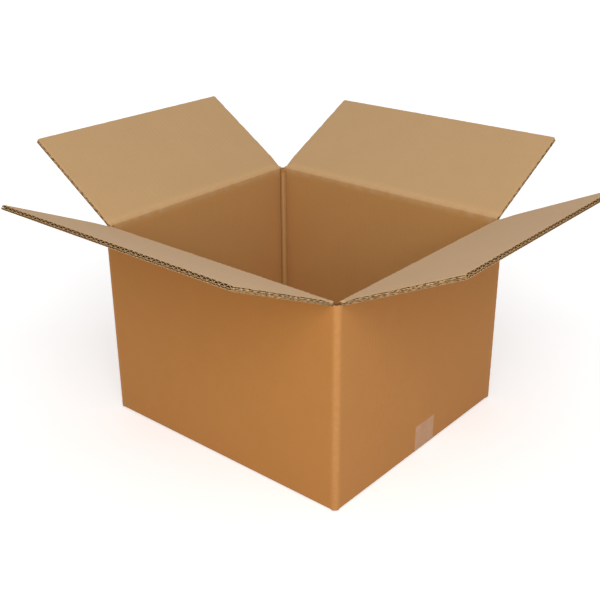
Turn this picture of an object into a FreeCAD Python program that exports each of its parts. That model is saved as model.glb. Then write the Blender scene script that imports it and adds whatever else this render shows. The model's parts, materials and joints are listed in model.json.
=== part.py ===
import FreeCAD, Part
import math
import os

# Open carton of double-wall corrugated board, with its four top flaps turned out.
# The carton body is one folded sheet: four walls, four bottom flaps and the glued lap.
# X runs along the long walls, Y along the short walls and Z is up. The origin is the
# centre of the footprint on the floor. All lengths are in millimetres.

# Inside of the carton
INNER_LENGTH = 440.0
INNER_WIDTH = 400.0
INNER_HEIGHT = 300.0

# The board: inner liner, large flutes, middle liner, small flutes, outer liner
LINER = 0.45
LARGE_FLUTE_HEIGHT = 3.5
SMALL_FLUTE_HEIGHT = 2.15
LARGE_FLUTE_PITCH = 9.25
SMALL_FLUTE_PITCH = 6.6
MEDIUM = 0.3

# The blank: a slot parts each flap from the next, and the long bottom flaps meet at the seam
TOP_FLAP_LENGTH = 197.0
SEAM_GAP = 2.0
SLOT_WIDTH = 10.0
UPRIGHT_FOLD_RADIUS = 8.0
BOTTOM_FOLD_RADIUS = 4.0
CORNER_BEAD = 4.5
SLOT_END_HEIGHT = 1.5
CUT_SIDE_RECESS = 1.2

# The glued lap folded in from the back wall at the right-hand corner
LAP_WIDTH = 36.0
LAP_THICKNESS = 5.0
LAP_TAPER_ANGLE = 15.0
LAP_END_MARGIN = 12.0
LAP_FOLD_RADIUS = 5.0
RAW_EDGE_SETBACK = 0.8

# The creases of the top flaps
CLEARANCE = 0.3
LONG_LIP_RADIUS = 1.1
SHORT_LIP_THICKNESS = 2.0
FOLD_DOWN_ANGLE = 60.0
FLUTE_START = 16.0

# How far above level each top flap points
FRONT_FLAP_ANGLE = 24.5
BACK_FLAP_ANGLE = 27.5
LEFT_FLAP_ANGLE = 33.0
RIGHT_FLAP_ANGLE = 25.5

# The packing tape along the bottom seam and up both short walls
TAPE_WIDTH = 50.0
TAPE_THICKNESS = 0.1
TAPE_TAB_HEIGHT = 46.0
TAPE_OFFSET = 11.0

# Worked out from the sizes above
BOARD = 3 * LINER + LARGE_FLUTE_HEIGHT + SMALL_FLUTE_HEIGHT
HALF_BOARD = BOARD / 2
INNER_X, INNER_Y = INNER_LENGTH / 2, INNER_WIDTH / 2
OUTER_X, OUTER_Y = INNER_X + BOARD, INNER_Y + BOARD
SHORT_WALL_LINE, LONG_WALL_LINE = INNER_X + HALF_BOARD, INNER_Y + HALF_BOARD
LONG_FLAP_WIDTH = INNER_LENGTH + BOARD - SLOT_WIDTH
SHORT_FLAP_WIDTH = INNER_WIDTH + BOARD - SLOT_WIDTH
SLOT_X, SLOT_Y = LONG_FLAP_WIDTH / 2 + CLEARANCE, SHORT_FLAP_WIDTH / 2 + CLEARANCE
BOTTOM_FLAP_LENGTH = LONG_WALL_LINE - SEAM_GAP / 2
UPPER_LAYER = BOARD + CLEARANCE
INNER_FLOOR = UPPER_LAYER + BOARD
CREASE_HEIGHT = INNER_FLOOR + INNER_HEIGHT
SHORT_AXIS_DROP = HALF_BOARD + CLEARANCE
SHUT_FLAPS_FLOOR = CREASE_HEIGHT - SHORT_AXIS_DROP - UPPER_LAYER
BEVEL = math.radians(FOLD_DOWN_ANGLE)


def arc(across, up, radius, start, end):
    """An outline's arc about a centre, as its middle and last points; the angles are in degrees."""
    numbers = []
    for angle in (math.radians((start + end) / 2), math.radians(end)):
        numbers += [across + radius * math.cos(angle), up + radius * math.sin(angle)]
    return tuple(numbers)


def in_section(out, up):
    """A point of a wall's section: out from the wall's middle plane, and up."""
    return FreeCAD.Vector(out, 0, up)


def in_plan(across, along):
    """A point of the box's plan."""
    return FreeCAD.Vector(across, along, 0)


def outline_face(outline, point):
    """The flat face inside a closed outline of points and arcs."""
    edges = []
    here = point(*outline[-1][-2:])
    for item in outline:
        end = point(*item[-2:])
        if len(item) == 4:
            edges.append(Part.Arc(here, point(*item[:2]), end).toShape())
        else:
            edges.append(Part.makeLine(here, end))
        here = end
    return Part.Face(Part.Wire(edges))


def bar(outline, width):
    """A bar of the given section, as wide as stated along Y and centred on it."""
    section = outline_face(outline, in_section)
    section.translate(FreeCAD.Vector(0, -width / 2, 0))
    return section.extrude(FreeCAD.Vector(0, width, 0))


def upright(outline, low, high):
    """A post with the given plan, between two heights."""
    plan = outline_face(outline, in_plan)
    plan.translate(FreeCAD.Vector(0, 0, low))
    return plan.extrude(FreeCAD.Vector(0, 0, high - low))


def prism(corners, run):
    """A straight prism of flat corner points, as long as the run."""
    return Part.Face(Part.makePolygon(corners + corners[:1])).extrude(run)


def place(shape, turn, distance):
    """Put a shape made with X pointing out of a wall onto the wall that faces that way."""
    placed = shape.copy()
    placed.translate(FreeCAD.Vector(distance, 0, 0))
    placed.rotate(FreeCAD.Vector(0, 0, 0), FreeCAD.Vector(0, 0, 1), turn)
    return placed


def long_wall_top():
    """The crest of a long wall under its flap: (out, up) points from outside to inside."""
    reach = LONG_LIP_RADIUS + CLEARANCE
    crest = -reach * math.tan(BEVEL / 2)
    outer_foot = -(reach + HALF_BOARD * math.sin(BEVEL)) / math.cos(BEVEL)
    inner_foot = -reach - (HALF_BOARD + crest)
    return [(HALF_BOARD, outer_foot), (crest, -reach), (-HALF_BOARD, inner_foot)]


def short_axis(angle):
    """Where a short wall's flap turns: on the flap's outer face, one board below the long flaps' plane."""
    angle = math.radians(angle)
    out = (HALF_BOARD - SHORT_AXIS_DROP * math.cos(angle)) / math.sin(angle)
    return out, -SHORT_AXIS_DROP


def short_wall_top(angle):
    """The top of a short wall under its flap: (out, up) points from outside to inside."""
    out, up = short_axis(angle)
    reach = SHORT_LIP_THICKNESS + CLEARANCE
    shoulder = out + (reach * math.cos(BEVEL) - CLEARANCE) / math.sin(BEVEL)
    outer_foot = up - (CLEARANCE + (HALF_BOARD - out) * math.sin(BEVEL)) / math.cos(BEVEL)
    return [(HALF_BOARD, outer_foot), (shoulder, up - reach), (-HALF_BOARD, up - reach)]


def bottom_fold():
    """The outside of the fold between a wall and its bottom flap."""
    return arc(HALF_BOARD - BOTTOM_FOLD_RADIUS, BOTTOM_FOLD_RADIUS, BOTTOM_FOLD_RADIUS, -90, 0)


def long_wall():
    """A long wall and its bottom flap, folded from one board."""
    top = [(out, CREASE_HEIGHT + up) for out, up in long_wall_top()]
    outline = [(-BOTTOM_FLAP_LENGTH, BOARD), (-BOTTOM_FLAP_LENGTH, 0), (HALF_BOARD - BOTTOM_FOLD_RADIUS, 0)]
    outline += [bottom_fold()] + top + [(-HALF_BOARD, BOARD)]
    return bar(outline, LONG_FLAP_WIDTH + 2 * CLEARANCE)


def short_wall(angle):
    """A short wall whose bottom flap steps up onto the long bottom flaps."""
    top = [(out, CREASE_HEIGHT + up) for out, up in short_wall_top(angle)]
    outline = [(-BOTTOM_FLAP_LENGTH, INNER_FLOOR), (-BOTTOM_FLAP_LENGTH, UPPER_LAYER)]
    outline += [(-HALF_BOARD, UPPER_LAYER), (-HALF_BOARD, 0), (HALF_BOARD - BOTTOM_FOLD_RADIUS, 0)]
    outline += [bottom_fold()] + top + [(-HALF_BOARD, INNER_FLOOR)]
    return bar(outline, SHORT_FLAP_WIDTH + 2 * CLEARANCE)


def folded_corner():
    """An upright fold between two walls, drawn for the corner at +X +Y."""
    plan = [(SLOT_X, OUTER_Y), (SLOT_X, INNER_Y), (INNER_X, INNER_Y), (INNER_X, SLOT_Y), (OUTER_X, SLOT_Y)]
    radius = UPRIGHT_FOLD_RADIUS
    plan += [(OUTER_X, OUTER_Y - radius), arc(OUTER_X - radius, OUTER_Y - radius, radius, 0, 90)]
    post = upright(plan, SLOT_END_HEIGHT, CREASE_HEIGHT)
    bead_plan = [(INNER_X, INNER_Y), (INNER_X - CORNER_BEAD, INNER_Y), (INNER_X, INNER_Y - CORNER_BEAD)]
    return post.fuse(upright(bead_plan, INNER_FLOOR + CLEARANCE, SHUT_FLAPS_FLOOR))


def lapped_corner():
    """The glued corner at +X +Y: the back wall's lap turns in behind the right wall's raw edge."""
    raw_y = OUTER_Y - RAW_EDGE_SETBACK
    neck = upright([(SLOT_X, OUTER_Y), (SLOT_X, INNER_Y), (INNER_X, INNER_Y), (INNER_X, OUTER_Y)],
                   SLOT_END_HEIGHT, CREASE_HEIGHT)
    raw_edge = upright([(INNER_X, SLOT_Y), (OUTER_X, SLOT_Y), (OUTER_X, raw_y), (INNER_X, raw_y)],
                       SLOT_END_HEIGHT, CREASE_HEIGHT)
    low, high = INNER_FLOOR + CLEARANCE, SHUT_FLAPS_FLOOR
    inset = LAP_END_MARGIN + LAP_WIDTH * math.tan(math.radians(LAP_TAPER_ANGLE))
    lap_outline = [(INNER_Y, low), (INNER_Y - LAP_WIDTH, low + inset),
                   (INNER_Y - LAP_WIDTH, high - inset), (INNER_Y, high)]
    corners = [FreeCAD.Vector(INNER_X - LAP_THICKNESS, y, z) for y, z in lap_outline]
    return raw_edge.fuse([neck, prism(corners, FreeCAD.Vector(LAP_THICKNESS, 0, 0))])


def lap_groove():
    """The groove outside the glued corner, between the lap's fold and the raw edge."""
    radius = LAP_FOLD_RADIUS
    turn = arc(INNER_X - radius, OUTER_Y - radius, radius, 90, 0)
    return upright([(INNER_X, OUTER_Y), (INNER_X - radius, OUTER_Y), turn], 0, CREASE_HEIGHT)


def tape():
    """One strip, pressed flush into the board along the seam and up both short walls."""
    centre_x = OUTER_X - BOTTOM_FOLD_RADIUS
    inner_x = OUTER_X - TAPE_THICKNESS
    outline = [(0, TAPE_THICKNESS), (0, 0), (centre_x, 0)]
    outline += [arc(centre_x, BOTTOM_FOLD_RADIUS, BOTTOM_FOLD_RADIUS, -90, 0), (OUTER_X, TAPE_TAB_HEIGHT)]
    outline += [(inner_x, TAPE_TAB_HEIGHT), (inner_x, BOTTOM_FOLD_RADIUS)]
    outline += [arc(centre_x, BOTTOM_FOLD_RADIUS, BOTTOM_FOLD_RADIUS - TAPE_THICKNESS, 0, -90)]
    half = bar(outline, TAPE_WIDTH)
    other_half = half.mirror(FreeCAD.Vector(0, 0, 0), FreeCAD.Vector(1, 0, 0))
    whole = half.fuse(other_half).removeSplitter()
    whole.translate(FreeCAD.Vector(0, TAPE_OFFSET, 0))
    return whole


def carton_body(strip):
    """The folded sheet without its top flaps."""
    sheet = [place(long_wall(), turn, LONG_WALL_LINE) for turn in (-90, 90)]
    sheet.append(place(short_wall(RIGHT_FLAP_ANGLE), 0, SHORT_WALL_LINE))
    sheet.append(place(short_wall(LEFT_FLAP_ANGLE), 180, SHORT_WALL_LINE))
    corner = folded_corner()
    for across, along in ((-1, -1), (-1, 1), (1, -1)):
        post = corner.copy()
        if across < 0:
            post = post.mirror(FreeCAD.Vector(0, 0, 0), FreeCAD.Vector(1, 0, 0))
        if along < 0:
            post = post.mirror(FreeCAD.Vector(0, 0, 0), FreeCAD.Vector(0, 1, 0))
        sheet.append(post)
    sheet.append(lapped_corner())
    return sheet[0].fuse(sheet[1:]).removeSplitter().cut([lap_groove(), strip])


def flute_cells(width, low, height, pitch):
    """The open cells of one fluted layer: triangles either side of a zigzag medium."""
    slope = math.atan2(height, pitch / 2)
    half_base = pitch / 2 - MEDIUM / 2 / math.sin(slope)
    tip = MEDIUM / 2 / math.cos(slope)
    steps = int((width - 2 * CUT_SIDE_RECESS - MEDIUM) / (pitch / 2)) - 1
    cells = []
    for step in range(steps):
        middle = (step - (steps - 1) / 2) * pitch / 2
        base, point = (low, low + height - tip) if step % 2 else (low + height, low + tip)
        cells.append([(middle - half_base, base), (middle + half_base, base), (middle, point)])
    return cells


def flutes(width, outer_face):
    """Every channel that runs in from a flap's free edge, and the recess along each cut side."""
    small_low = outer_face + LINER
    large_low = small_low + SMALL_FLUTE_HEIGHT + LINER
    layers = [(small_low, SMALL_FLUTE_HEIGHT, SMALL_FLUTE_PITCH)]
    layers.append((large_low, LARGE_FLUTE_HEIGHT, LARGE_FLUTE_PITCH))
    run = FreeCAD.Vector(TOP_FLAP_LENGTH - FLUTE_START, 0, 0)
    channels = []
    for low, height, pitch in layers:
        for cell in flute_cells(width, low, height, pitch):
            channels.append(prism([FreeCAD.Vector(FLUTE_START, across, up) for across, up in cell], run))
        for start in (-width / 2, width / 2 - CUT_SIDE_RECESS):
            corner = FreeCAD.Vector(FLUTE_START, start, low)
            channels.append(Part.makeBox(run.x, CUT_SIDE_RECESS, height, corner))
    return Part.makeCompound(channels)


def long_flap():
    """A long wall's flap lying level, turning about the Y axis through its crease."""
    lip = LONG_LIP_RADIUS
    wall_face = HALF_BOARD + CLEARANCE
    lip_end = (wall_face + lip * math.sin(BEVEL)) / math.cos(BEVEL)
    full_outer = (wall_face + HALF_BOARD * math.sin(BEVEL)) / math.cos(BEVEL)
    lip_start = (lip + CLEARANCE) * math.tan(BEVEL / 2)
    outline = [(TOP_FLAP_LENGTH, HALF_BOARD), (TOP_FLAP_LENGTH, -HALF_BOARD), (full_outer, -HALF_BOARD)]
    outline += [(lip_end, -lip), (0, -lip), arc(0, 0, lip, 270, 90), (lip_start, lip)]
    outline += [(lip_start + HALF_BOARD - lip, HALF_BOARD)]
    return bar(outline, LONG_FLAP_WIDTH).cut(flutes(LONG_FLAP_WIDTH, -HALF_BOARD))


def short_flap(angle):
    """A short wall's flap lying level, turning about the Y axis on its outer face."""
    lip = SHORT_LIP_THICKNESS
    lip_end = short_axis(angle)[0] + HALF_BOARD + CLEARANCE
    outline = [(TOP_FLAP_LENGTH, BOARD), (TOP_FLAP_LENGTH, 0), (-lip, 0), arc(0, 0, lip, 180, 90)]
    outline += [(lip_end, lip), (lip_end + BOARD - lip, BOARD)]
    return bar(outline, SHORT_FLAP_WIDTH).cut(flutes(SHORT_FLAP_WIDTH, 0))


def raised(flap, angle, axis, turn, distance):
    """Turn a level flap up to its angle about its own axis and set it on its wall."""
    turned = flap.copy()
    turned.rotate(FreeCAD.Vector(0, 0, 0), FreeCAD.Vector(0, 1, 0), -angle)
    turned.translate(FreeCAD.Vector(axis[0], 0, CREASE_HEIGHT + axis[1]))
    return place(turned, turn, distance)


strip = tape()
nodes = {"seam_tape": strip, "carton_body": carton_body(strip)}
for name, angle, turn in (("front_flap", FRONT_FLAP_ANGLE, -90), ("back_flap", BACK_FLAP_ANGLE, 90)):
    nodes[name] = raised(long_flap(), angle, (0, 0), turn, LONG_WALL_LINE)
for name, angle, turn in (("right_flap", RIGHT_FLAP_ANGLE, 0), ("left_flap", LEFT_FLAP_ANGLE, 180)):
    nodes[name] = raised(short_flap(angle), angle, short_axis(angle), turn, SHORT_WALL_LINE)

os.makedirs("parts", exist_ok=True)
for name, shape in nodes.items():
    shape.exportStep("parts/" + name + ".step")
    print(name, "valid" if shape.isValid() else "NOT VALID", len(shape.Solids), "solid,",
          len(shape.Faces), "faces,", round(shape.Volume / 1000.0, 1), "cm3")
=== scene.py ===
import json
import math

import bpy
import numpy as np
from mathutils import Matrix, Vector


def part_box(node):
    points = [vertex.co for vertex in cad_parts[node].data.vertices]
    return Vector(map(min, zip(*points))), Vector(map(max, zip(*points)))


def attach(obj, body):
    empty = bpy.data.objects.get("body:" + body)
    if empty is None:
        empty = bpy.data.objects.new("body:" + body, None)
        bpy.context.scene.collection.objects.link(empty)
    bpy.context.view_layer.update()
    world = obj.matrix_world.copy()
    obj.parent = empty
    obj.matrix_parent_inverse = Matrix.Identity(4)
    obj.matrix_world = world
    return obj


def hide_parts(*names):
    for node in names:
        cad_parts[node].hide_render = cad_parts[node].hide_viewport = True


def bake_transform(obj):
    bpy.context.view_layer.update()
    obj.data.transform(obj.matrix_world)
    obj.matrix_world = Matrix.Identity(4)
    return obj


bl_info = {
    "name": "Open double-wall carton",
    "version": (1, 0, 0),
    "blender": (4, 5, 0),
    "location": "View3D > Sidebar > Carton",
    "description": "Builds an open corrugated carton with turned-out flaps, its tape and its studio floor",
    "category": "Object",
}

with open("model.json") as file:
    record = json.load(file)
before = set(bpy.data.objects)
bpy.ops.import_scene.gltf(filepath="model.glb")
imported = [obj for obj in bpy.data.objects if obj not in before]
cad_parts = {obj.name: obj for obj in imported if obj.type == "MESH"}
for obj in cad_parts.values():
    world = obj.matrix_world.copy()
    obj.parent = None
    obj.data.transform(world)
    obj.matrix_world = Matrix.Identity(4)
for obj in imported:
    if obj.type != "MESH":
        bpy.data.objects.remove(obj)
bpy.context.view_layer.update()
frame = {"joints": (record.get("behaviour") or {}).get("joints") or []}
body_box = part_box("carton_body")
hinges = {joint["child"]: joint for joint in frame["joints"]}

OUTER_X, OUTER_Y = body_box[1].x, body_box[1].y
CREASE_HEIGHT = hinges["front"]["pos_m"][2]
UNDERSIDE = 0.00015
SLOT_CLEARANCE = 0.0003
SIDE_TRIM = 0.0003
POST_FOOT = 0.0015
BEAD_TOP_DROP = 0.0111
LAP_BEND, LAP_NECK, LAP_MARGIN, LAP_TAPER = 0.005, 0.012, 0.012, 15
SHARP_FROM = 35
BEND_BELOW, BEND_ABOVE = 0.005, 0.004
LEVEL = {flap: math.radians(180 + hinge["range_deg"][0]) for flap, hinge in hinges.items()}

FLOOR_RADIUS = 9.0
WORLD_ON_OBJECT, WORLD_SEEN = 0.42, 1.0
OVERHEAD_STRENGTH, OVERHEAD_SPREAD, OVERHEAD_AIM = 0.46, 60, Vector((-0.27, 0.32, -0.91))
SOFTBOX_PLACE, SOFTBOX_AIM = Vector((1.16, -1.27, 1.27)), Vector((0, 0, 0.15))
SOFTBOX_SIZE, SOFTBOX_POWER = 1.2, 17.6

CAMERA_AZIMUTH, CAMERA_ELEVATION, CAMERA_ROLL = 40.39, 24.41, -0.386
CAMERA_TARGET, CAMERA_DISTANCE = Vector((-0.0498, 0.0455, 0.155)), 1.6069
SENSOR_WIDTH, LENS = 36.0, 57.84

BAND_SCALE = 0.314159


def length_setting(label, text, default):
    """A length in metres that the sidebar shows in the scene's units."""
    return bpy.props.FloatProperty(name=label, description=text, default=default, min=0.0,
                                   precision=5, unit="LENGTH", subtype="DISTANCE")


def colour_setting(label, text, default):
    """A linear colour for one of the papers or finishes."""
    return bpy.props.FloatVectorProperty(name=label, description=text, default=default, size=3,
                                         min=0.0, max=1.0, subtype="COLOR")


def linear(red, green, blue):
    """A colour picked as 0 to 255 screen values, in the linear values that a shader takes."""
    values = []
    for value in (red, green, blue):
        value /= 255
        values.append(value / 12.92 if value <= 0.04045 else ((value + 0.055) / 1.055) ** 2.4)
    return tuple(values)


class CartonSizes(bpy.types.PropertyGroup):
    liner: length_setting("Liner", "Thickness of each of the three flat papers", 0.00045)
    small_flutes: length_setting("Small flutes", "Height of the outer fluted layer", 0.00215)
    large_flutes: length_setting("Large flutes", "Height of the inner fluted layer", 0.0035)
    small_pitch: length_setting("Small flute pitch", "From one small flute to the next", 0.0066)
    large_pitch: length_setting("Large flute pitch", "From one large flute to the next", 0.00925)
    large_medium: length_setting("Large fluting paper", "Thickness of the large wavy paper", 0.00056)
    small_medium: length_setting("Small fluting paper", "Thickness of the small wavy paper", 0.00036)
    flap_length: length_setting("Top flap length", "From the crease to the free edge", 0.197)
    slot: length_setting("Slot width", "Cut that parts one flap from the next", 0.010)
    seam_gap: length_setting("Seam gap", "Between the two long bottom flaps", 0.002)
    upright_radius: length_setting("Upright fold radius", "Outside radius of a corner", 0.008)
    bottom_radius: length_setting("Bottom fold radius", "Outside radius of a bottom fold", 0.004)
    crease_radius: length_setting("Crease radius", "Outer-face radius of a flap's crease", 0.0008)
    strip: length_setting("Crease strip", "How far below its crease a flap's piece begins", 0.014)
    bead: length_setting("Corner bead", "Width of the raised fold inside a corner", 0.0045)
    lap_width: length_setting("Lap width", "Width of the glued lap", 0.036)
    lap_thickness: length_setting("Lap thickness", "Thickness of the pressed lap", 0.005)
    tape_width: length_setting("Tape width", "Width of the packing tape", 0.050)
    tape_tab: length_setting("Tape tab", "How far the tape runs up each short wall", 0.046)
    tape_offset: length_setting("Tape offset", "How far the tape lies to one side", 0.011)

    @property
    def board(self):
        """Thickness of the whole board."""
        return 3 * self.liner + self.small_flutes + self.large_flutes

    @property
    def levels(self):
        """Where the small flutes, the middle liner, the large flutes and the inner liner begin."""
        small = self.liner
        middle = small + self.small_flutes
        large = middle + self.liner
        return small, middle, large, large + self.large_flutes

    @property
    def waves(self):
        """Height, pitch and paper thickness of the small flutes, then of the large ones."""
        return ((self.small_flutes, self.small_pitch, self.small_medium),
                (self.large_flutes, self.large_pitch, self.large_medium))


class CartonColours(bpy.types.PropertyGroup):
    outside: colour_setting("Outside paper", "The liner on the outside", linear(191, 128, 56))
    # The inner liner has two copies: the walls' copy is darker than the flaps' copy, as painted shade inside the
    # carton.
    inside: colour_setting("Inside paper", "The liner inside the walls", linear(198, 148, 86))
    flap_inside: colour_setting("Flap inside paper", "The paler liner on the open flaps", linear(202, 163, 115))
    fluting: colour_setting("Fluting paper", "The wavy paper and the middle liner", linear(122, 84, 48))
    torn: colour_setting("Cut edge", "The fuzzy edge of a cut liner", linear(212, 174, 126))
    # Paler colour on the folds: stretched, worn paper, and a painted highlight where the rounded folds catch light.
    wear_and_painted_light: colour_setting("Rubbed fold", "The stretched paper over a fold", linear(210, 152, 95))
    tape: colour_setting("Packing tape", "The tape over the board", linear(206, 164, 132))
    floor: colour_setting("Floor", "The studio floor", (0.84, 0.84, 0.84))


def ripple(places, seed):
    """A smooth irregular wave between about -1 and 1; the places are in wavelengths."""
    total = np.zeros_like(np.asarray(places, float))
    for step in range(5):
        rate = 0.61 + 0.43 * step + 0.07 * math.sin(seed * 1.7 + step)
        total += np.sin(2 * math.pi * rate * places + seed * 2.3 + step * 1.9) / (1.2 + 0.45 * step)
    return total / 2.2


def near(distance, width):
    """1 where the distance is nothing, falling softly to 0 over the width."""
    return np.exp(-(np.asarray(distance, float) / width) ** 2)


class BoardLine:
    """The outer face of a folded board in section: where it runs, out from the wall and up."""

    def __init__(self, out, up):
        self.rows = [(0.0, out, up, 0.0)]
        self.fold, self.crease = 0.0, 0.0
        self.bend, self.arc = 0.0, 1.0

    def run(self, length):
        travelled, out, up, heading = self.rows[-1]
        self.rows.append((travelled + length, out + length * math.cos(heading),
                          up + length * math.sin(heading), heading))

    def turn(self, radius, angle):
        """Turn by an angle, to the board's inner side where it is above 0. Returns the middle."""
        travelled, out, up, heading = self.rows[-1]
        side = 1 if angle > 0 else -1
        centre_out = out - side * radius * math.sin(heading)
        centre_up = up + side * radius * math.cos(heading)
        steps = max(4, int(abs(math.degrees(angle)) / 3))
        for step in range(1, steps + 1):
            part = angle * step / steps
            now = heading + part
            self.rows.append((travelled + radius * abs(part), centre_out + side * radius * math.sin(now),
                              centre_up - side * radius * math.cos(now), now))
        return travelled + radius * abs(angle) / 2

    def measured_from(self, zero):
        """Count lengths along the line from this place."""
        self.rows = [(row[0] - zero, *row[1:]) for row in self.rows]
        self.fold -= zero
        self.crease -= zero
        self.table = np.array(self.rows)
        self.first, self.last = self.rows[0][0], self.rows[-1][0]
        return self

    def at(self, along):
        table = self.table
        return [np.interp(along, table[:, 0], table[:, column]) for column in (1, 2, 3)]


class Panel:
    """One wall with its flaps, as a place for points across, along and through the board."""

    def __init__(self, turn, outer, half, line, sheet_offset, sizes):
        self.turn, self.outer, self.half, self.line = math.radians(turn), outer, half, line
        self.sheet_offset, self.sizes = sheet_offset, sizes
        self.lapped = self.flap_end = False

    def gap(self, along):
        """How far the papers stand in from the panel's side: not at all on the wall, a little on a flap."""
        return SIDE_TRIM * np.clip((along + 0.008) / 0.006, 0, 1)

    def thickness(self, across, along):
        """How thick the board is left by its creases, its crushed cut sides and its corner folds."""
        full = self.sizes.board
        side = self.half - np.abs(across)
        crushed = 0.10 * near(along, 0.0045)
        crushed = np.maximum(crushed, 0.55 * near(along - self.line.fold, 0.0042))
        flap = np.clip(along / 0.004, 0, 1)
        crushed = crushed + flap * 0.30 * near(along - 0.002, 0.018) * near(side, 0.008)
        crushed = crushed + flap * (0.13 + 0.08 * ripple(along / 0.021, 3.1)) * near(side, 0.0022)
        end = self.line.last - along
        crushed = crushed + (0.05 + 0.03 * ripple(across / 0.028, 1.3)) * near(end, 0.0018)
        wall = np.clip((self.line.crease - 0.002 - along) / 0.003, 0, 1)
        wall = wall * np.clip((along - self.line.fold - 0.004) / 0.006, 0, 1)
        crushed = crushed + wall * 0.30 * near(side - 0.0040, 0.0015)
        bend, arc = self.line.bend, self.line.arc
        turned = np.clip(along / arc + 0.5, 0, 1) * bend
        mitre = 1 + 0.5 * (1 / np.cos(np.minimum(turned, bend - turned)) - 1)
        return full * (1 - np.clip(crushed, 0, 0.62)) * mitre

    def dip(self, across, along):
        """How far the outer face turns in towards the glued lap."""
        if not self.lapped:
            return np.zeros_like(across + along)
        radius = LAP_BEND
        past = np.clip(-across - (OUTER_X - LAP_NECK), 0, radius)
        fade = np.clip((0.004 - along) / 0.008, 0, 1)
        return fade * (radius - np.sqrt(np.maximum(radius ** 2 - past ** 2, 0)))

    def ridges(self, across, along):
        """How the flutes show through the inner liner, most of all along the crease."""
        strength = 0.00003 + 0.00040 * near(along + 0.001, 0.0045)
        swell = np.cos(2 * math.pi * across / self.sizes.large_pitch)
        return strength * swell + 0.00022 * near(along, 0.008) * ripple(across / 0.043, 5.2)

    def point(self, across, along, share):
        """World points; the share through the board is 0 on the outer face and 1 on the inner."""
        thickness, dip = self.thickness(across, along), self.dip(across, along)
        through = dip + share * (thickness - dip) + share ** 6 * self.ridges(across, along)
        out, up, heading = self.line.at(along)
        out = self.outer + out - through * np.sin(heading)
        up = up + through * np.cos(heading)
        turn = self.turn
        return np.stack([out * math.cos(turn) - across * math.sin(turn),
                         out * math.sin(turn) + across * math.cos(turn), up + 0 * out], axis=-1)


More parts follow.
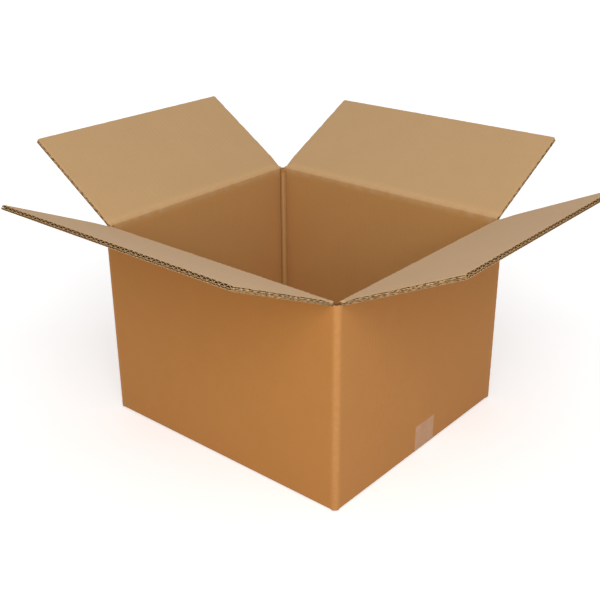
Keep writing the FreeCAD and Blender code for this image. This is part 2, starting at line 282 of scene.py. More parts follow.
class PieceMesh:
    """Gathers the sheets of one piece: points, faces, finishes, board places and values of wear and painted light.
    """

    def __init__(self):
        self.points, self.places, self.wear_and_painted_light = [], [], []
        self.faces, self.finishes = [], []
        self.count = 0

    def add(self, points, places, wear_and_painted_light):
        start = self.count
        self.points.append(points.reshape(-1, 3))
        self.places.append(places.reshape(-1, 2))
        self.wear_and_painted_light.append(np.broadcast_to(wear_and_painted_light, points.shape[:-1]).reshape(-1))
        self.count += self.points[-1].shape[0]
        return start + np.arange(self.points[-1].shape[0]).reshape(points.shape[:-1])

    def quads(self, a, b, c, d, finish):
        rows = np.stack([a, b, c, d], axis=-1).reshape(-1, 4)
        self.faces.append(rows)
        self.finishes.append(np.full(rows.shape[0], finish))

    def skin(self, index, finish, flip=False):
        a, b, c, d = index[:-1, :-1], index[1:, :-1], index[1:, 1:], index[:-1, 1:]
        if flip:
            a, b, c, d = a, d, c, b
        self.quads(a, b, c, d, finish)

    def slab(self, low, high, places, finishes, wear_and_painted_light=0.0):
        """A closed sheet between two grids of points; finishes are for outside, inside and rim."""
        low_index = self.add(low, places, wear_and_painted_light)
        high_index = self.add(high, places, wear_and_painted_light)
        self.skin(low_index, finishes[0])
        self.skin(high_index, finishes[1], flip=True)
        for edge, flip in ((np.s_[0, :], True), (np.s_[-1, :], False), (np.s_[:, 0], False), (np.s_[:, -1], True)):
            a, b = low_index[edge], high_index[edge]
            if flip:
                self.quads(a[:-1], b[:-1], b[1:], a[1:], finishes[2])
            else:
                self.quads(a[:-1], a[1:], b[1:], b[:-1], finishes[2])

    def column(self, plan, low, high, finish, cap, places, wear_and_painted_light=0.0, recess=0.0):
        """A post on a closed plan, its top sunk inside a rim where a recess is given.
        The finish is one for all its sides, or one for each."""
        plan = np.array(plan, float)
        middle = plan.mean(axis=0)
        high = np.broadcast_to(high, len(plan))
        levels = [(plan, np.full(len(plan), low)), (plan, high - 0.0006), (plan + (middle - plan) * 0.03, high)]
        inner = plan + (middle - plan) * 0.16
        levels += [(inner, high), (inner, high - recess)] if recess else []
        points = np.stack([np.column_stack([flat, height]) for flat, height in levels], axis=1)
        spots = np.stack([np.column_stack([places, height - CREASE_HEIGHT]) for _, height in levels], axis=1)
        index = self.add(points, spots, wear_and_painted_light)
        ring = np.concatenate([index, index[:1]], axis=0)
        for side in range(len(plan)):
            side_finish = finish if isinstance(finish, int) else finish[side]
            here, there = ring[side:side + 1], ring[side + 1:side + 2]
            self.quads(here[:, :2], there[:, :2], there[:, 1:3], here[:, 1:3], side_finish)
        if recess:
            self.quads(ring[:-1, 2:4], ring[1:, 2:4], ring[1:, 3:5], ring[:-1, 3:5], cap)
        for level, flip in ((0, True), (-1, False)):
            loop = index[::-1, level] if flip else index[:, level]
            for step in range(1, len(loop) - 2, 2):
                corners = [loop[0], loop[step], loop[step + 1], loop[min(step + 2, len(loop) - 1)]]
                self.faces.append(np.array([corners]))
                self.finishes.append(np.array([cap]))
            if len(loop) % 2:
                self.faces.append(np.array([[loop[0], loop[-2], loop[-1], loop[-1]]]))
                self.finishes.append(np.array([cap]))

    def build(self, name, materials):
        """The finished object, with its board places as a UV map, smooth but for its sharp edges."""
        points = np.concatenate(self.points)
        faces = [list(dict.fromkeys(row)) for row in np.concatenate(self.faces).tolist()]
        finishes = np.concatenate(self.finishes)
        keep = [number for number, row in enumerate(faces) if len(row) > 2]
        mesh = bpy.data.meshes.new(name)
        mesh.from_pydata(points.tolist(), [], [faces[number] for number in keep])
        for material in materials:
            mesh.materials.append(material)
        mesh.polygons.foreach_set("material_index", finishes[keep].astype(np.int32))
        corners = np.zeros(len(mesh.loops), np.int32)
        mesh.loops.foreach_get("vertex_index", corners)
        layer = mesh.uv_layers.new(name="board")
        layer.data.foreach_set("uv", np.concatenate(self.places)[corners].astype(np.float32).ravel())
        # Per point: above 0 a fold worn pale with a painted highlight, below 0 painted shade in a groove.
        wear_and_painted_light = mesh.attributes.new("wear_and_painted_light", "FLOAT", "POINT")
        wear_and_painted_light.data.foreach_set("value", np.concatenate(self.wear_and_painted_light).astype(np.float32))
        mesh.shade_smooth()
        mesh.set_sharp_from_angle(angle=math.radians(SHARP_FROM))
        mesh.update()
        piece = bpy.data.objects.new(name, mesh)
        bpy.context.scene.collection.objects.link(piece)
        return piece


OUTSIDE, INSIDE, FLUTING, TORN = 0, 1, 2, 3


def rows_along(start, end, line):
    """Places along a panel: close together at the creases and ends, wider between them."""
    spacing = 0.0036 if end > 0 else 0.015
    places = set(np.round(np.arange(start, end, spacing), 6)) | {start, end}
    for middle, reach, step in ((0.0, 0.012, 0.0010), (line.fold, 0.007, 0.0008), (end, 0.004, 0.0010)):
        for place in np.arange(middle - reach, middle + reach, step):
            if start < place < end:
                places.add(round(float(place), 6))
    kept = [start]
    for place in sorted(places)[1:-1]:
        if place - kept[-1] > 0.0003 and end - place > 0.0003 and abs(place) > 0.0007:
            kept.append(place)
    if start < 0 < end:
        kept = sorted(kept + list(np.linspace(-0.5, 0.5, 9) * line.arc))
    return np.array(kept + [end])


def frayed(along, seed, depth):
    """How far a cut side has worn back at each place along a top flap."""
    on_flap = np.clip((along - 0.001) / 0.006, 0, 1)
    return on_flap * depth * (1 + 0.6 * ripple(along / 0.013, seed) + 0.4 * ripple(along / 0.0047, seed + 2))


def paper(mesh, panel, across, along, low, high, finishes, seed, depth=0.0003, end_depth=0.00025):
    """One flat or wavy paper of the board between two heights in its thickness.
    Its value of wear and painted light is above 0 where a fold is worn pale and painted lighter as a highlight, and
    below 0 where painted shade darkens a groove."""
    sizes = panel.sizes
    full = sizes.board
    spread, rows = np.meshgrid(across / panel.half, along, indexing="ij")
    left = panel.half - panel.gap(along) - frayed(along, seed, depth)
    right = panel.half - panel.gap(along) - frayed(along, seed + 4, depth)
    width = np.where(spread > 0, right[None, :], left[None, :])
    width = np.where(np.abs(spread) > 0.97, width, panel.half - panel.gap(along)[None, :])
    places = spread * width
    cut_back = end_depth * (1 + 0.7 * ripple(places / 0.017, seed + 1) + 0.5 * ripple(places / 0.0052, seed + 3))
    fade = np.clip((rows - along[-1] + 0.004) / 0.004, 0, 1) if panel.flap_end else 0
    rows = rows - fade * cut_back
    low_share = low(places, rows) / full if callable(low) else np.full_like(places, low / full)
    high_share = high(places, rows) / full if callable(high) else np.full_like(places, high / full)
    side = panel.half - np.abs(places)
    # Pale band just above the crease: worn paper and a painted highlight. The dip at the bottom fold is painted
    # shade along the bottom edge, which the clip below keeps from going under 0.
    wear_and_painted_light = 0.60 * near(rows - 0.004, 0.006) * (rows > 0) - 0.45 * near(rows - panel.line.fold, 0.003)
    # Near a wall's sides the paper is paler too: worn at the corner fold, and a painted highlight.
    wear_and_painted_light = np.clip(wear_and_painted_light + 0.15 * near(side, 0.0026) * (rows < 0), 0, 1)
    # Painted shade: darker in the groove beside the bead inside a corner.
    if low != 0.0:
        wear_and_painted_light = wear_and_painted_light - panel.groove_shade * near(side - 0.0042, 0.0016) * (rows < 0)
    spots = np.stack([places + panel.sheet_offset, rows], axis=-1)
    mesh.slab(panel.point(places, rows, low_share), panel.point(places, rows, high_share), spots,
              finishes, wear_and_painted_light)


def wave(low, height, pitch, medium, phase, panel, crushed):
    """The lower and upper faces of a fluted paper, crushed along the cut sides."""
    middle, swing = low + height / 2, (height - medium) / 2

    def face(side):
        def place(across, along):
            edge = near(panel.half - np.abs(across), pitch * 0.55) * np.clip(along / 0.004, 0, 1)
            drift = edge * crushed * ripple(along / 0.016, phase + 1.7)
            turn = 2 * math.pi * across / pitch + phase + drift * 2.6
            slope = swing * 2 * math.pi / pitch * np.sin(turn)
            size = swing * (1 - 0.35 * edge * crushed)
            return middle + size * np.cos(turn) + side * medium / 2 * np.sqrt(1 + slope ** 2) * 0.93
        return place
    return face(-1), face(1)


def torn_side(mesh, panel, along, low, high, deep, seed):
    """The crushed fluting that half fills a layer along both cut sides of a top flap."""
    full = panel.sizes.board
    part, rows = np.meshgrid(np.linspace(0, 1, 5), along, indexing="ij")
    for side in (-1, 1):
        top = 0.64 + 0.24 * ripple(rows / 0.0062, seed + side)
        foot = 0.16 + 0.16 * ripple(rows / 0.0075, seed + 2.6 + side)
        share = (low + (high - low) * (foot + part * (top - foot))) / full
        depth = deep * np.clip(0.45 + 1.3 * ripple(rows / 0.0088 + 0.5 * part, seed + 1.1 * side), 0, 1.6)
        depth = depth + 0.00035 * ripple(rows / 0.0033 + 2.2 * part, seed + 4.0)
        outer = side * (panel.half - panel.gap(rows) - np.clip(depth, 0.0001, None) - frayed(rows, seed, 0.0003))
        inner = outer - side * 0.0005
        places = [inner, outer] if side < 0 else [outer, inner]
        grids = [panel.point(place, rows, share) for place in places]
        spots = np.stack([outer + panel.sheet_offset, rows], axis=-1)
        mesh.slab(grids[0], grids[1], spots, (TORN,) * 3)


def wavy_paper(mesh, panel, along, low, shape, phase, crushed, per_wave, *wear):
    """One fluted paper of a layer. The shape is its height, its pitch and the paper's thickness."""
    height, pitch, medium = shape
    columns = np.linspace(-panel.half + 0.0004, panel.half - 0.0004, int(2 * panel.half / pitch * per_wave))
    low_face, high_face = wave(low, height, pitch, medium, phase, panel, crushed)
    paper(mesh, panel, columns, along, low_face, high_face, (FLUTING, FLUTING, TORN), 5.0 + phase, *wear)


def columns_across(half, margin, count):
    """Places across a panel: close together at its sides, and even between them."""
    sides = [0.0, 0.0012, 0.0025, 0.004, 0.0055]
    return np.array(sorted(set([-half + side for side in sides] + [half - side for side in sides]
                               + list(np.linspace(-half + margin, half - margin, count)))))


def board(mesh, panel, start, end, flutes_from=None):
    """The papers of a panel between two places along it; its flutes only where it shows them."""
    sizes, line, half = panel.sizes, panel.line, panel.half
    along = rows_along(start, end, line)
    panel.flap_end = end == line.last
    small, middle, large, inner = sizes.levels
    step = sizes.large_pitch / 3 if flutes_from else 0.012
    flat = columns_across(half, 0.0075, int(2 * half / step) - 4)
    coarse = columns_across(half, 0.02, 24)
    paper(mesh, panel, coarse, along, 0.0, small, (OUTSIDE, FLUTING, TORN), 1.0)
    paper(mesh, panel, flat, along, inner, sizes.board, (FLUTING, INSIDE, TORN), 2.0)
    if flutes_from is None:
        return
    along = along[(along >= flutes_from[0]) & (along <= flutes_from[1])]
    sparse = [place for number, place in enumerate(along)
              if number % 4 == 0 or place > along[-1] - 0.0045 or (number % 2 == 0 and place < 0.012)]
    paper(mesh, panel, coarse, along, middle, large, (FLUTING, FLUTING, TORN), 3.0, 0.0006)
    for low, shape, phase, crushed, depth in ((small, sizes.waves[0], 0.4, 1.0, 0.0012),
                                              (large, sizes.waves[1], 1.1, 0.8, 0.0020)):
        wavy_paper(mesh, panel, np.array(sparse), low, shape, phase, crushed, 5.5, depth, 0.0001)
    cut = np.arange(flutes_from[0], flutes_from[1], 0.0012)
    torn_side(mesh, panel, cut, small, middle, 0.0016, 1.4)
    torn_side(mesh, panel, cut, large, inner - 0.0004, 0.0020, 3.6)


def slot_start(outer, sizes):
    """How far from the middle a wall's flaps end and the slots beside them begin."""
    return outer - sizes.board / 2 - sizes.slot / 2 + SLOT_CLEARANCE


def panels(sizes):
    """The four walls with the run of each one's board, by the name of its top flap."""
    made = {}
    thick = sizes.board
    for flap, turn, outer, other in (("front", -90, OUTER_Y, OUTER_X), ("back", 90, OUTER_Y, OUTER_X),
                                     ("right", 0, OUTER_X, OUTER_Y), ("left", 180, OUTER_X, OUTER_Y)):
        is_long = flap in ("front", "back")
        angle = LEVEL[flap]
        corner = thick / 2 * (1 - math.sin(angle)) / math.cos(angle)
        corner_up = -thick / 2 * math.cos(angle) + corner * math.sin(angle)
        reach = sizes.crease_radius * math.tan((math.pi / 2 - angle) / 2)
        hinge = Vector(hinges[flap]["pos_m"])
        axis_out = abs(hinge.y if is_long else hinge.x) - (outer - thick / 2)
        axis_up = hinge.z - CREASE_HEIGHT
        end = sizes.flap_length + axis_out * math.cos(angle) + axis_up * math.sin(angle)
        if is_long:
            line = BoardLine(-(OUTER_Y - sizes.seam_gap / 2), UNDERSIDE)
            line.run(OUTER_Y - sizes.seam_gap / 2 - sizes.bottom_radius)
        else:
            line = BoardLine(-thick + 0.0002, UNDERSIDE)
            line.run(thick - 0.0002 - sizes.bottom_radius)
        line.fold = line.turn(sizes.bottom_radius, math.pi / 2)
        line.run(CREASE_HEIGHT + corner_up - reach - sizes.bottom_radius - UNDERSIDE)
        line.crease = line.turn(sizes.crease_radius, angle - math.pi / 2)
        line.bend = math.pi / 2 - angle
        line.arc = sizes.crease_radius * line.bend
        line.run(end - corner - reach)
        line.measured_from(line.crease)
        sheet_offset = {"front": 0, "back": 1.1, "right": 2.3, "left": 3.4}[flap]
        panel = Panel(turn, outer, slot_start(other, sizes), line, sheet_offset, sizes)
        panel.lapped = flap == "back"
        panel.groove_shade = 0.3 if is_long else 1.0
        made[flap] = panel
    return made


def short_bottom_flaps(mesh, sizes, made):
    """The two short bottom flaps, which lie on the long ones inside the carton."""
    thick = sizes.board
    level = thick + 0.0003
    for flap in ("right", "left"):
        wall = made[flap]
        line = BoardLine(-(OUTER_Y - sizes.seam_gap / 2), level)
        line.run(OUTER_Y - sizes.seam_gap / 2 - thick - 0.00005)
        line.fold, line.crease = line.rows[-1][0] + 0.001, 1.0
        line.measured_from(0.0)
        panel = Panel(math.degrees(wall.turn), wall.outer, wall.half - 0.0003, line, wall.sheet_offset + 0.6, sizes)
        panel.groove_shade = 0.0
        flat_end(mesh, panel, line.first, line.last)


def flat_end(mesh, panel, start, end):
    """A bottom flap whose first edge is its cut one: its papers, with the flutes open there."""
    sizes, half = panel.sizes, panel.half
    along = np.unique(np.concatenate([np.linspace(start, start + 0.006, 5),
                                      np.linspace(start + 0.006, end - 0.01, 14),
                                      np.linspace(end - 0.01, end, 8)]))
    small, middle, large, inner = sizes.levels
    flat = np.linspace(-half, half, 40)
    for low, high, finishes, seed in ((0.0, small, (OUTSIDE, FLUTING, TORN), 1.0),
                                      (middle, large, (FLUTING, FLUTING, TORN), 3.0),
                                      (inner, sizes.board, (FLUTING, INSIDE, TORN), 2.0)):
        paper(mesh, panel, flat, along, low, high, finishes, seed)
    for low, shape, phase in ((small, sizes.waves[0], 0.9), (large, sizes.waves[1], 2.1)):
        wavy_paper(mesh, panel, along[along < start + 0.05], low, shape, phase, 0.5, 6)


def lengths_along(points):
    """How far along a run of points each one lies."""
    return np.cumsum([0.0] + [math.dist(a, b) for a, b in zip(points[:-1], points[1:])])


def corner_posts(mesh, sizes):
    """The upright folds at three corners, each with the raised bead inside it."""
    thick = sizes.board
    inner_x, inner_y = OUTER_X - thick, OUTER_Y - thick
    slot_x, slot_y = slot_start(OUTER_X, sizes), slot_start(OUTER_Y, sizes)
    radius = sizes.upright_radius
    turns = np.radians(np.linspace(0, 90, 13))
    outside = [(OUTER_X - radius + radius * math.cos(turn), OUTER_Y - radius + radius * math.sin(turn))
               for turn in turns]
    plan = [(OUTER_X, slot_y)] + outside + [(slot_x, OUTER_Y), (slot_x, inner_y), (inner_x, inner_y),
                                            (inner_x, slot_y)]
    bead = sizes.bead
    hump = [(inner_x, inner_y)]
    for turn in np.radians(np.linspace(0, 90, 9)):
        swell = 0.76 * bead * (1.0 + 0.10 * math.sin(2 * turn))
        hump.append((inner_x - swell * math.sin(turn) ** 1.25, inner_y - swell * math.cos(turn) ** 1.25))
    bead_low, bead_high = 2 * thick + 0.0006, CREASE_HEIGHT - BEAD_TOP_DROP
    for number, (across, along) in enumerate(((-1, -1), (-1, 1), (1, -1))):
        order = 1 if across * along > 0 else -1
        posts = [(x * across, y * along) for x, y in plan][::order]
        ragged = 0.0004 * np.array([math.sin(7.3 * step + number) for step in range(len(posts))])
        spots = lengths_along(posts) + 4.7 + number
        inner_side = [math.hypot(inner_x - abs(a[0] + b[0]) / 2, inner_y - abs(a[1] + b[1]) / 2) < 0.0009
                      for a, b in zip(posts, posts[1:] + posts[:1])]
        # Each outer corner fold is painted paler down its middle: stretched, worn paper and a painted highlight.
        mesh.column(posts, POST_FOOT, CREASE_HEIGHT - 0.0004 + ragged,
                    [INSIDE if inner else OUTSIDE for inner in inner_side], FLUTING, spots,
                    np.array([0.27 + 0.33 * near(math.hypot(abs(x) - OUTER_X, abs(y) - OUTER_Y) - 0.0033, 0.0030)
                              if math.hypot(abs(x) - inner_x, abs(y) - inner_y) > 0.003 else 0.1
                              for x, y in posts])[:, None], 0.0010)
        # Each bead is painted paler along its ridge: stretched paper and a painted highlight.
        for size, foot, head in ((1.0, bead_low, bead_high), (0.30, bead_high - 0.0006, CREASE_HEIGHT - 0.0016)):
            humps = [((inner_x - (inner_x - x) * size) * across, (inner_y - (inner_y - y) * size) * along)
                     for x, y in hump][::order]
            spots = lengths_along(humps) + 5.9 + number
            mesh.column(humps, foot, head, INSIDE, INSIDE, spots, 0.35)


def glued_corner(mesh, sizes):
    """The glued corner: the right wall's raw edge, and the back wall's lap turned in behind it."""
    thick = sizes.board
    inner_x, inner_y = OUTER_X - thick, OUTER_Y - thick
    slot_x, slot_y = slot_start(OUTER_X, sizes), slot_start(OUTER_Y, sizes)
    radius = LAP_BEND
    neck = [(slot_x, inner_y)]
    for turn in np.radians(np.linspace(90 - 49.5, 0, 7)):
        neck.append((inner_x - radius + radius * math.cos(turn), OUTER_Y - radius + radius * math.sin(turn)))
    neck = (neck + [(inner_x, inner_y)])[::-1]
    spots = np.linspace(0, LAP_NECK, len(neck)) + 7.1
    # The lap's outer fold is painted paler like the other corner folds: worn paper and a painted highlight.
    mesh.column(neck, POST_FOOT, CREASE_HEIGHT - 0.0006, OUTSIDE, FLUTING, spots, 0.6)
    raw_y = OUTER_Y - 0.0008
    heights = np.linspace(POST_FOOT, CREASE_HEIGHT - 0.0004, 90)
    small, middle, large, inner = sizes.levels
    for low, high, back, finishes, seed in (
            (0.0, small, 0.0, (OUTSIDE, FLUTING, TORN), 1.0), (small, middle, 0.0009, (FLUTING,) * 3, 2.0),
            (middle, large, 0.0002, (FLUTING, FLUTING, TORN), 3.0), (large, inner, 0.0020, (FLUTING,) * 3, 4.0),
            (inner, sizes.board, 0.0001, (FLUTING, INSIDE, TORN), 5.0)):
        ends = raw_y - back - 0.0004 * (1 + ripple(heights / 0.012, seed))
        y = np.stack([np.full_like(heights, slot_y), (slot_y + ends) / 2, ends])
        z = np.broadcast_to(heights, y.shape)
        faces = [np.stack([np.full_like(y, OUTER_X - depth), y, z], axis=-1) for depth in (low, high)]
        mesh.slab(faces[0], faces[1], np.stack([y + 2.3, z - CREASE_HEIGHT], axis=-1), finishes, 0.1)
    low, high = 2 * thick + 0.0006, CREASE_HEIGHT - BEAD_TOP_DROP
    reach = np.linspace(0, sizes.lap_width, 10)
    margin = LAP_MARGIN + sizes.lap_width * math.tan(math.radians(LAP_TAPER))
    share = np.linspace(0, 1, 24)
    y, part = np.meshgrid(inner_y - reach, share, indexing="ij")
    inset = margin * (inner_y - y) / sizes.lap_width
    z = low + inset + part * (high - low - 2 * inset)
    z = z + 0.0006 * ripple(y / 0.011, 2.0) * (np.abs(part - 0.5) > 0.49)
    end = np.clip((y - (inner_y - sizes.lap_width)) / 0.003, 0, 1)
    depth = sizes.lap_thickness * (0.72 + 0.28 * np.sqrt(end))
    edge = np.minimum(np.minimum(part, 1 - part) / 0.02, 1)
    depth = depth * (0.85 + 0.15 * edge)
    backs = np.stack([np.full_like(y, inner_x + 0.0001), y, z], axis=-1)
    fronts = np.stack([inner_x - depth, y, z], axis=-1)
    mesh.slab(backs, fronts, np.stack([y + 8.2, z - CREASE_HEIGHT], axis=-1), (FLUTING, OUTSIDE, TORN), 0.2)


def material_start(name):
    """A new node material with its shader and output, and a maker of further nodes."""
    material = bpy.data.materials.new(name)
    material.use_nodes = True
    tree = material.node_tree
    tree.nodes.clear()
    out = tree.nodes.new("ShaderNodeOutputMaterial")
    shader = tree.nodes.new("ShaderNodeBsdfPrincipled")
    tree.links.new(shader.outputs[0], out.inputs[0])

    def node(kind, inputs=None, **settings):
        made = tree.nodes.new(kind)
        for key, value in settings.items():
            setattr(made, key, value)
        for key, value in (inputs or {}).items():
            if isinstance(value, bpy.types.NodeSocket):
                tree.links.new(value, made.inputs[key])
            else:
                made.inputs[key].default_value = value
        return made
    return material, tree, shader, node


def tinted(colour, share):
    """A colour made darker or lighter by a share, with the alpha that a socket wants."""
    return tuple(min(1.0, value * share) for value in colour) + (1.0,)


def mixed(node, factor, first, second, mode="MIX"):
    """The colour socket of a mix of two colours or sockets."""
    mix = node("ShaderNodeMix", {0: factor, 6: first, 7: second}, data_type="RGBA", blend_type=mode)
    return mix.outputs[2]


def noise(node, place, scale, detail, roughness=0.5):
    """The value socket of a noise at a place."""
    return node("ShaderNodeTexNoise", {"Vector": place, "Scale": scale, "Detail": detail,
                                       "Roughness": roughness}).outputs[0]


def ranged(node, value, start, end, low=0.0, high=1.0, **settings):
    """A value taken from one range to another."""
    return node("ShaderNodeMapRange", {"Value": value, "From Min": start, "From Max": end, "To Min": low,
                                       "To Max": high}, **settings).outputs[0]


def product(node, first, second):
    """Two values multiplied."""
    return node("ShaderNodeMath", {0: first, 1: second}, operation="MULTIPLY").outputs[0]


def raised(node, height, distance, **over):
    """The normal of a surface raised by a height, over another normal where one is given."""
    return node("ShaderNodeBump", {"Height": height, "Distance": distance, "Strength": 1.0, **over}).outputs[0]


def kraft_paper(name, colour, flap_colour, wear_and_painted_light, pitch, flute_depth=0.00006):
    """Kraft liner: clouded pulp, long fibres, specks, the flutes' faint lines, folds worn pale with a painted
    highlight, and painted shade in grooves.
    """
    material, tree, shader, node = material_start(name)
    place = node("ShaderNodeUVMap", uv_map="board").outputs[0]
    along = node("ShaderNodeSeparateXYZ", {"Vector": place}).outputs[1]
    uneven = noise(node, place, 62.0, 2.0)
    crease = node("ShaderNodeMath", {0: uneven, 1: 0.012, 2: along}, operation="MULTIPLY_ADD").outputs[0]
    on_flap = ranged(node, crease, 0.002, 0.008)
    cloud = noise(node, place, 16.0, 5.0, 0.62)
    grain_place = node("ShaderNodeMapping", {"Vector": place, "Scale": (240.0, 1500.0, 1.0)}).outputs[0]
    grain = noise(node, grain_place, 1.0, 4.0, 0.7)
    pulp = noise(node, place, 420.0, 3.0, 0.7)
    dark_specks = ranged(node, noise(node, place, 1400.0, 1.0), 0.68, 0.78)
    lines = node("ShaderNodeTexWave", {"Vector": place, "Scale": BAND_SCALE / pitch, "Distortion": 0.6,
                                       "Detail": 1.0, "Detail Scale": 2.0}, wave_type="BANDS",
                 bands_direction="X", wave_profile="SIN").outputs["Fac"]
    # On the inner liner this swaps the darker walls' copy for the paler flaps' copy above the crease: painted shade
    # inside the carton, not a different paper.
    sheet = mixed(node, on_flap, tinted(colour, 1.0), tinted(flap_colour, 1.0))
    shades = mixed(node, cloud, (0.955, 0.955, 0.955, 1), (1.045, 1.045, 1.045, 1))
    clouded = mixed(node, 1.0, sheet, shades, "MULTIPLY")
    fibres = mixed(node, grain, (0.80, 0.79, 0.77, 1), (1.22, 1.22, 1.23, 1))
    base = mixed(node, 0.5, clouded, fibres, "MULTIPLY")
    flecks = mixed(node, pulp, (0.88, 0.87, 0.86, 1), (1.12, 1.13, 1.14, 1))
    base = mixed(node, 0.6, base, flecks, "MULTIPLY")
    base = mixed(node, ranged(node, lines, 0.0, 1.0, 0.0, 0.03), base, tinted(colour, 0.70))
    base = mixed(node, product(node, dark_specks, 0.30), base, tinted(colour, 0.52))
    # This value pales folds and beads toward the fold colour, as worn paper and a painted highlight.
    wear = node("ShaderNodeAttribute", attribute_name="wear_and_painted_light").outputs["Fac"]
    patchy = ranged(node, noise(node, place, 130.0, 4.0, 0.65), 0.35, 0.65, 0.55, 1.0)
    base = mixed(node, product(node, wear, patchy), base, tuple(wear_and_painted_light) + (1.0,))
    # Painted shade: below 0 the value darkens the paper in the grooves beside the corner beads.
    base = mixed(node, product(node, wear, -0.8), base, tinted(colour, 0.30))
    tree.links.new(base, shader.inputs["Base Color"])
    tree.links.new(ranged(node, grain, 0.0, 1.0, 0.74, 0.90), shader.inputs["Roughness"])
    shader.inputs["Specular IOR Level"].default_value = 0.32
    shader.inputs["Sheen Weight"].default_value = 0.12
    shader.inputs["Sheen Roughness"].default_value = 0.55
    flutes = raised(node, lines, flute_depth)
    buckled = raised(node, noise(node, place, 34.0, 3.0, 0.55), 0.0005, Normal=flutes)
    fibrous = raised(node, grain, 0.00008, Normal=buckled)
    tree.links.new(fibrous, shader.inputs["Normal"])
    return material


def fluting_paper(name, colour, spread):
    """The coarse brown paper of the flutes, or the fuzzy edge of a cut sheet."""
    material, tree, shader, node = material_start(name)
    place = node("ShaderNodeTexCoord").outputs["Object"]
    fuzz = noise(node, place, 900.0, 3.0, 0.7)
    patch = noise(node, place, 110.0, 4.0, 0.6)
    base = mixed(node, patch, tinted(colour, 1 - spread), tinted(colour, 1 + spread))
    base = mixed(node, 0.7, base, mixed(node, fuzz, (0.72, 0.70, 0.68, 1), (1.28, 1.29, 1.30, 1)), "MULTIPLY")
    tree.links.new(base, shader.inputs["Base Color"])
    shader.inputs["Roughness"].default_value = 0.92
    shader.inputs["Specular IOR Level"].default_value = 0.2
    tree.links.new(raised(node, fuzz, 0.00015), shader.inputs["Normal"])
    return material


def tape_film(name, colour, under):
    """Tan packing tape: a thin film with the kraft showing through, trapped air and fine lines."""
    material, tree, shader, node = material_start(name)
    place = node("ShaderNodeTexCoord").outputs["Object"]
    air = noise(node, place, 95.0, 4.0, 0.6)
    stretch = node("ShaderNodeMapping", {"Vector": place, "Scale": (1.0, 30.0, 1.0)}).outputs[0]
    lines = noise(node, stretch, 60.0, 2.0)
    base = mixed(node, ranged(node, air, 0.25, 0.75),
                 tinted(tuple((a + b) / 2 for a, b in zip(colour, under)), 1.0), tuple(colour) + (1.0,))
    base = mixed(node, 0.35, base, mixed(node, lines, (0.85, 0.84, 0.83, 1), (1.15, 1.15, 1.15, 1)), "MULTIPLY")
    tree.links.new(base, shader.inputs["Base Color"])
    tree.links.new(ranged(node, lines, 0.0, 1.0, 0.28, 0.48), shader.inputs["Roughness"])
    shader.inputs["Specular IOR Level"].default_value = 0.45
    tree.links.new(raised(node, air, 0.0005), shader.inputs["Normal"])
    return material


def papers(colours, sizes):
    """The four papers that every board piece is made of, in the order of its finishes."""
    wanted = {
        "outer kraft liner": lambda name: kraft_paper(name, colours.outside, colours.outside, colours.wear_and_painted_light,
                                                      sizes.small_pitch),
        # The inner liner's folds and corner beads pale toward this lighter colour: worn paper and a painted
        # highlight.
        "inner kraft liner": lambda name: kraft_paper(name, colours.inside, colours.flap_inside,
                                                      tinted(colours.flap_inside, 1.18)[:3],
                                                      sizes.large_pitch, 0.00005),
        "fluting paper": lambda name: fluting_paper(name, colours.fluting, 0.22),
        "cut paper edge": lambda name: fluting_paper(name, colours.torn, 0.14),
    }
    return [bpy.data.materials.get(name) or make(name) for name, make in wanted.items()]


class CARTON_OT_shell(bpy.types.Operator):
    """Build the folded sheet: walls, corner folds, glued lap and bottom flaps"""
    bl_idname = "carton.shell"
    bl_label = "Build the carton shell"

    def execute(self, context):
        sizes, colours = context.scene.carton_sizes, context.scene.carton_colours
        mesh = PieceMesh()
        made = panels(sizes)
        for panel in made.values():
            board(mesh, panel, panel.line.first, -sizes.strip)
        short_bottom_flaps(mesh, sizes, made)
        corner_posts(mesh, sizes)
        glued_corner(mesh, sizes)
        shell = mesh.build("carton_shell", papers(colours, sizes))
        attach(shell, "carton")
        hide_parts("carton_body")
        return {"FINISHED"}


class CARTON_OT_top_flaps(bpy.types.Operator):
    """Build the four top flaps, each one board from a strip of its wall round its crease to its free edge"""
    bl_idname = "carton.top_flaps"
    bl_label = "Build the top flaps"

    def execute(self, context):
        sizes, colours = context.scene.carton_sizes, context.scene.carton_colours
        for flap, panel in panels(sizes).items():
            mesh = PieceMesh()
            board(mesh, panel, -sizes.strip, panel.line.last, (-0.004, panel.line.last))
            piece = mesh.build(flap + "_flap_board", papers(colours, sizes))
            zero = np.zeros((1, 1))
            start = panel.point(zero, zero - BEND_BELOW, zero + 0.5)[0, 0]
            end = panel.point(zero, zero + BEND_ABOVE, zero + 0.5)[0, 0]
            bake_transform(piece)
            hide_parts(flap + "_flap")
        return {"FINISHED"}


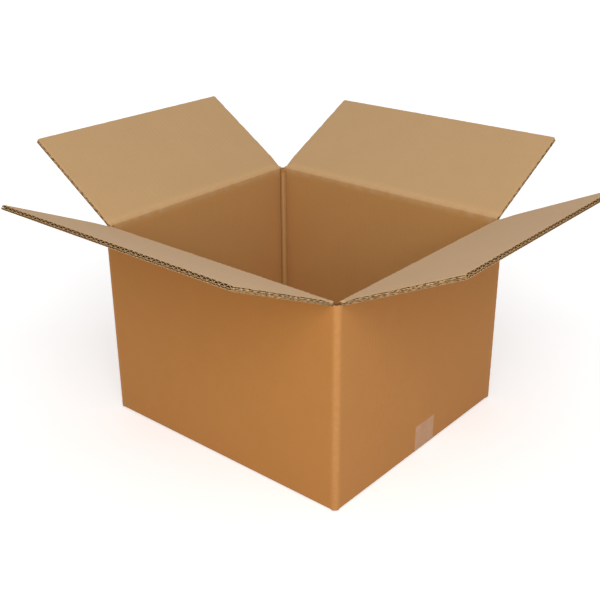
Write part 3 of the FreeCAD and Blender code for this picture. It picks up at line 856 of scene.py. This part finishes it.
class CARTON_OT_tape(bpy.types.Operator):
    """Lay the packing tape along the bottom seam and up both short walls"""
    bl_idname = "carton.tape"
    bl_label = "Lay the packing tape"

    def execute(self, context):
        sizes, colours = context.scene.carton_sizes, context.scene.carton_colours
        mesh = PieceMesh()
        proud = 0.00012
        radius = sizes.bottom_radius
        line = BoardLine(-OUTER_X, 0.00003)
        line.run(OUTER_X - radius)
        line.turn(radius, math.pi / 2)
        line.run(sizes.tape_tab - radius)
        line.measured_from(0.0)
        along = np.unique(np.concatenate([np.linspace(0, OUTER_X - radius, 16),
                                          np.linspace(OUTER_X - radius, line.last, 40)]))
        across = np.linspace(-0.5, 0.5, 41)
        spread, rows = np.meshgrid(across, along, indexing="ij")
        for side, turn in ((1, 0.0), (-1, math.pi)):
            middle = side * sizes.tape_offset
            lean = 0.0012 * ripple(rows / 0.09, 2.0 + side)
            width = sizes.tape_width - 0.0006 * (1 + ripple(rows / 0.05, 3.0))
            places = middle + lean * np.clip((rows - 0.22) / 0.01, 0, 1) * 0.3 + spread * width
            tooth = np.abs(((spread * 41) % 2) - 1) * 0.0009
            ends = rows - tooth * np.clip((rows - line.last + 0.002) / 0.002, 0, 1)
            out, up, heading = line.at(ends)
            crumple = 0.00010 * (1 + ripple(places / 0.013, 1.0) * ripple(ends / 0.017, 4.0))
            crumple = crumple * np.clip((ends - (OUTER_X - radius)) / 0.005, 0, 1)
            grids = []
            for lift in (proud, 0.0):
                shown = OUTER_X + out + (lift + (crumple if lift else 0)) * np.sin(heading)
                high = up + 0.0001 * (1 - lift / proud) * (heading < 0.1)
                grids.append(np.stack([shown * math.cos(turn) - places * math.sin(turn),
                                       shown * math.sin(turn) + places * math.cos(turn), high], axis=-1))
            mesh.slab(grids[0], grids[1], np.stack([places, ends], axis=-1), (0, 0, 0))
        film = tape_film("tan packing tape", colours.tape, colours.outside)
        strip = mesh.build("tape_strip", [film])
        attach(strip, "carton")
        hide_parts("seam_tape")
        return {"FINISHED"}


def matt_floor(colour):
    """A matt white floor that keeps the shadow, lifted to white for the camera away from the box."""
    material, tree, shader, node = material_start("matt white floor")
    grain = node("ShaderNodeTexNoise", {"Scale": 300.0, "Detail": 2.0})
    tone = mixed(node, grain.outputs[0], tinted(colour, 0.995), tinted(colour, 1.005))
    tree.links.new(tone, shader.inputs["Base Color"])
    shader.inputs["Roughness"].default_value = 0.9
    shader.inputs["Specular IOR Level"].default_value = 0.1
    away = node("ShaderNodeVectorMath", {0: node("ShaderNodeTexCoord").outputs["Object"]}, operation="LENGTH")
    paler = ranged(node, away.outputs["Value"], 0.38, 1.30, 0.44, 0.60, interpolation_type="SMOOTHSTEP")
    seen = node("ShaderNodeLightPath").outputs["Is Camera Ray"]
    glow = node("ShaderNodeEmission", {"Color": (1, 1, 1, 1), "Strength": product(node, seen, paler)})
    both = node("ShaderNodeAddShader", {0: shader.outputs[0], 1: glow.outputs[0]})
    out = next(made for made in tree.nodes if made.type == "OUTPUT_MATERIAL")
    tree.links.new(both.outputs[0], out.inputs[0])
    return material


def studio_world():
    """A plain white world, dimmer for the light on the box than for the camera and reflections."""
    world = bpy.data.worlds.new("studio")
    world.use_nodes = True
    tree = world.node_tree
    tree.nodes.clear()
    path = tree.nodes.new("ShaderNodeLightPath")
    direct = tree.nodes.new("ShaderNodeMath")
    direct.operation = "MAXIMUM"
    tree.links.new(path.outputs["Is Camera Ray"], direct.inputs[0])
    tree.links.new(path.outputs["Is Glossy Ray"], direct.inputs[1])
    strength = tree.nodes.new("ShaderNodeMapRange")
    strength.inputs["To Min"].default_value = WORLD_ON_OBJECT
    strength.inputs["To Max"].default_value = WORLD_SEEN
    tree.links.new(direct.outputs[0], strength.inputs["Value"])
    background = tree.nodes.new("ShaderNodeBackground")
    background.inputs["Color"].default_value = (1, 1, 1, 1)
    tree.links.new(strength.outputs[0], background.inputs["Strength"])
    out = tree.nodes.new("ShaderNodeOutputWorld")
    tree.links.new(background.outputs[0], out.inputs[0])
    return world


def hang_light(scene, light, place, aim):
    """Put a lamp at its place, shining along its aim."""
    stand = bpy.data.objects.new(light.name, light)
    stand.location = place
    stand.rotation_euler = aim.to_track_quat("-Z", "Y").to_euler()
    scene.collection.objects.link(stand)


class CARTON_OT_studio(bpy.types.Operator):
    """Set the pale floor, the soft lamps and the camera"""
    bl_idname = "carton.studio"
    bl_label = "Set the studio"

    def execute(self, context):
        scene = context.scene
        colours = scene.carton_colours
        mesh = bpy.data.meshes.new("studio_floor")
        rim = [(FLOOR_RADIUS * math.cos(turn), FLOOR_RADIUS * math.sin(turn), -0.0004)
               for turn in np.radians(np.arange(0, 360, 7.5))]
        mesh.from_pydata(rim, [], [list(range(len(rim)))])
        mesh.materials.append(matt_floor(colours.floor))
        floor = bpy.data.objects.new("studio_floor", mesh)
        scene.collection.objects.link(floor)
        scene.world = studio_world()

        overhead = bpy.data.lights.new("overhead_light", "SUN")
        overhead.energy, overhead.angle = OVERHEAD_STRENGTH, math.radians(OVERHEAD_SPREAD)
        hang_light(scene, overhead, Vector((0, 0, 0)), OVERHEAD_AIM)
        softbox = bpy.data.lights.new("front_softbox", "AREA")
        softbox.shape, softbox.size, softbox.energy = "SQUARE", SOFTBOX_SIZE, SOFTBOX_POWER
        hang_light(scene, softbox, SOFTBOX_PLACE, SOFTBOX_AIM - SOFTBOX_PLACE)

        scene.camera = photograph_camera(scene)
        scene.view_settings.view_transform = "Standard"
        return {"FINISHED"}


def photograph_camera(scene):
    """The camera at the photograph's viewing angle."""
    azimuth, elevation, roll = (math.radians(angle)
                                for angle in (CAMERA_AZIMUTH, CAMERA_ELEVATION, CAMERA_ROLL))
    back = Vector((math.sin(azimuth) * math.cos(elevation), -math.cos(azimuth) * math.cos(elevation),
                   math.sin(elevation)))
    level = Vector((math.cos(azimuth), math.sin(azimuth), 0))
    upward = back.cross(level)
    right = level * math.cos(roll) + upward * math.sin(roll)
    top = upward * math.cos(roll) - level * math.sin(roll)
    lens = bpy.data.cameras.new("photograph_view")
    lens.sensor_width, lens.lens = SENSOR_WIDTH, LENS
    camera = bpy.data.objects.new("photograph_view", lens)
    place = CAMERA_TARGET + back * CAMERA_DISTANCE
    camera.matrix_world = Matrix(((right.x, top.x, back.x, place.x), (right.y, top.y, back.y, place.y),
                                  (right.z, top.z, back.z, place.z), (0, 0, 0, 1)))
    scene.collection.objects.link(camera)
    return camera


STEPS = ("shell", "top_flaps", "tape", "studio")


class CARTON_PT_sidebar(bpy.types.Panel):
    """Lists the carton's sizes, colours and building steps"""
    bl_idname = "CARTON_PT_sidebar"
    bl_label = "Open carton"
    bl_space_type = "VIEW_3D"
    bl_region_type = "UI"
    bl_category = "Carton"

    def draw(self, context):
        for group in (context.scene.carton_sizes, context.scene.carton_colours):
            box = self.layout.box()
            for name in type(group).__annotations__:
                box.prop(group, name)
        for step in STEPS:
            self.layout.operator("carton." + step)


CLASSES = (CartonSizes, CartonColours, CARTON_OT_shell, CARTON_OT_top_flaps, CARTON_OT_tape, CARTON_OT_studio,
           CARTON_PT_sidebar)


def register():
    for each in CLASSES:
        bpy.utils.register_class(each)
    bpy.types.Scene.carton_sizes = bpy.props.PointerProperty(type=CartonSizes)
    bpy.types.Scene.carton_colours = bpy.props.PointerProperty(type=CartonColours)


def unregister():
    del bpy.types.Scene.carton_colours
    del bpy.types.Scene.carton_sizes
    for each in reversed(CLASSES):
        bpy.utils.unregister_class(each)


def main():
    register()
    for step in STEPS:
        getattr(bpy.ops.carton, step)()


if __name__ == "__main__":
    main()
